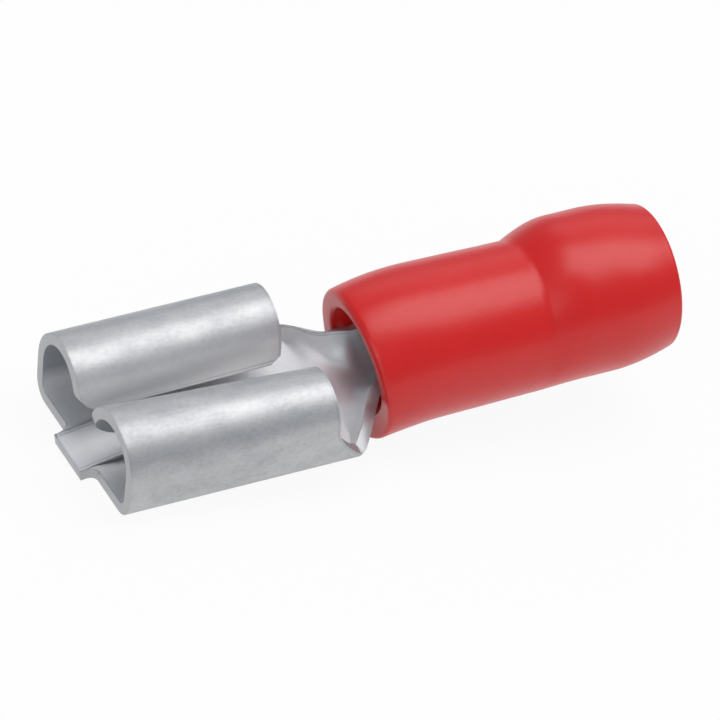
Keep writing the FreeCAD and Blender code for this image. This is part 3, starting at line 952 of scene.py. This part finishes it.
BODY_DARK, BODY, BODY_LIGHT = (0.437, 0.448, 0.466), (0.524, 0.527, 0.531), (0.59, 0.588, 0.58)
# Painted light and shade: the two inner colours are painted light, the under-curl, mouth and
# low-bend colours are painted shade, and the facing colour is a painted reflection.
INNER_PAINTED_LIGHT_LOW, INNER_PAINTED_LIGHT_HIGH = (0.89, 0.893, 0.897), (0.97, 0.97, 0.965)
UNDER_CURL_PAINTED_SHADE, FACING_PAINTED_REFLECTION, MOUTH_PAINTED_SHADE = (0.42, 0.44, 0.465), (0.83, 0.835, 0.835), (0.58, 0.69, 0.72)
LOW_PAINTED_SHADE, BESIDE_RIM, WORN_RIM = (0.3, 0.315, 0.34), (0.3, 0.31, 0.325), (0.44, 0.443, 0.452)
BLACK, WHITE = (0, 0, 0), (1, 1, 1)
GRAIN_DEPTH = 0.01 * MILLIMETRE

satin_tin = bpy.data.materials.new("satin_tin")
tree, shader = principled(satin_tin)
mottle = group_node(tree, clouds, Per_Millimetre=1.3, Fine_Share=0.5, Low=0.34, High=0.66)
rim = tree.nodes.new("ShaderNodeAttribute")
rim.attribute_name = "rim"
worn = map_range(tree, rim.outputs["Fac"], 0.75, 0.95, 0, 1)
beside = ramp(tree, rim.outputs["Fac"], ((0.2, BLACK), (0.45, WHITE), (0.7, BLACK)))
inside = tree.nodes.new("ShaderNodeAttribute")
inside.attribute_name = "depth"
spot = tree.nodes.new("ShaderNodeSeparateXYZ")
tree.links.new(working_place(tree), spot.inputs[0])
along, across, height = spot.outputs["X"], spot.outputs["Y"], spot.outputs["Z"]

# Painted light: the inner face is painted much lighter, and this fades out towards the sleeve's
# mouth.
inner = times(tree, map_range(tree, inside.outputs["Fac"], 0.8, 1, 0, 1),
              map_range(tree, along, 9.3, 10.4, 1, 0.1))
# Painted shade on the inner face under the curls.
under_curl_painted_shade = times(tree, map_range(tree, height, 0.5, 1.2, 0, 1),
                   map_range(tree, along, 7.4, 8.2, 1, 0))
inner_light_and_shade = ramp(tree, mottle, ((0.0, INNER_PAINTED_LIGHT_LOW), (1.0, INNER_PAINTED_LIGHT_HIGH)))
inner_light_and_shade = blend_colour(tree, under_curl_painted_shade, inner_light_and_shade, UNDER_CURL_PAINTED_SHADE)

from_middle = math_node(tree, "ABSOLUTE", across)
# Painted reflection: the curls' sides that face each other are painted lighter.
facing_painted_reflection = times(tree, map_range(tree, from_middle, 1.5, 2.5, 0.8, 0),
               map_range(tree, height, 1.9, 2.8, 1, 0))
facing_painted_reflection = times(tree, facing_painted_reflection, map_range(tree, along, 7.7, 7.9, 1, 0))
# Painted shade in the sleeve's mouth: a darker, bluish grey where the inner face's painted light
# fades.
mouth_painted_shade = times(tree, map_range(tree, inside.outputs["Fac"], 0.5, 1, 0, 1),
                 map_range(tree, along, 9.0, 10.3, 0, 1))
body_colour = ramp(tree, mottle, ((0.0, BODY_DARK), (0.5, BODY), (1.0, BODY_LIGHT)))
body_colour = blend_colour(tree, facing_painted_reflection, body_colour, FACING_PAINTED_REFLECTION)
body_colour = blend_colour(tree, mouth_painted_shade, body_colour, MOUTH_PAINTED_SHADE)
both = blend_colour(tree, inner, body_colour, inner_light_and_shade)

# Painted shade along the low bends, weaker on the inner face.
low_painted_shade = times(tree, map_range(tree, height, 0.05, 0.5, 1, 0),
             math_node(tree, "SUBTRACT", 0.6, times(tree, inner, 0.6)))
with_low_painted_shade = blend_colour(tree, low_painted_shade, both, LOW_PAINTED_SHADE)
edged = blend_colour(tree, times(tree, beside, 0.45), with_low_painted_shade, BESIDE_RIM)
tree.links.new(blend_colour(tree, worn, edged, WORN_RIM), shader.inputs["Base Color"])
tree.links.new(map_range(tree, inner, 0, 1, 0.68, 0.5), shader.inputs["Metallic"])
soft = map_range(tree, mottle, 0, 1, 0.5, 0.42)
tree.links.new(math_node(tree, "SUBTRACT", soft, times(tree, worn, 0.06)),
               shader.inputs["Roughness"])
bump(tree, shader, group_node(tree, grain, Per_Millimetre=9.0), GRAIN_DEPTH, 0.35)
print("tin nodes:", len(tree.nodes))

# %% [markdown]
# The sleeve is soft PVC: one strong red, a satin surface with a fine grain, and
# clouds so faint that they only break up the highlight.

# %% Red PVC
tree, shader = principled(red_pvc)
faint = group_node(tree, clouds, Per_Millimetre=0.5, Fine_Share=0.5, Low=0.3, High=0.7)
red = ramp(tree, faint, ((0.0, (0.66, 0.005, 0.004)), (1.0, (0.71, 0.008, 0.006))))
tree.links.new(red, shader.inputs["Base Color"])
tree.links.new(map_range(tree, faint, 0, 1, 0.36, 0.31), shader.inputs["Roughness"])
shader.inputs["IOR"].default_value = 1.55
bump(tree, shader, group_node(tree, grain, Per_Millimetre=7.0), GRAIN_DEPTH, 0.55)
for mesh, finish in ((terminal.data, satin_tin), (sleeve.data, red_pvc)):
    mesh.materials.clear()
    mesh.materials.append(finish)
print("finishes:", [m.name for m in (satin_tin, red_pvc)])
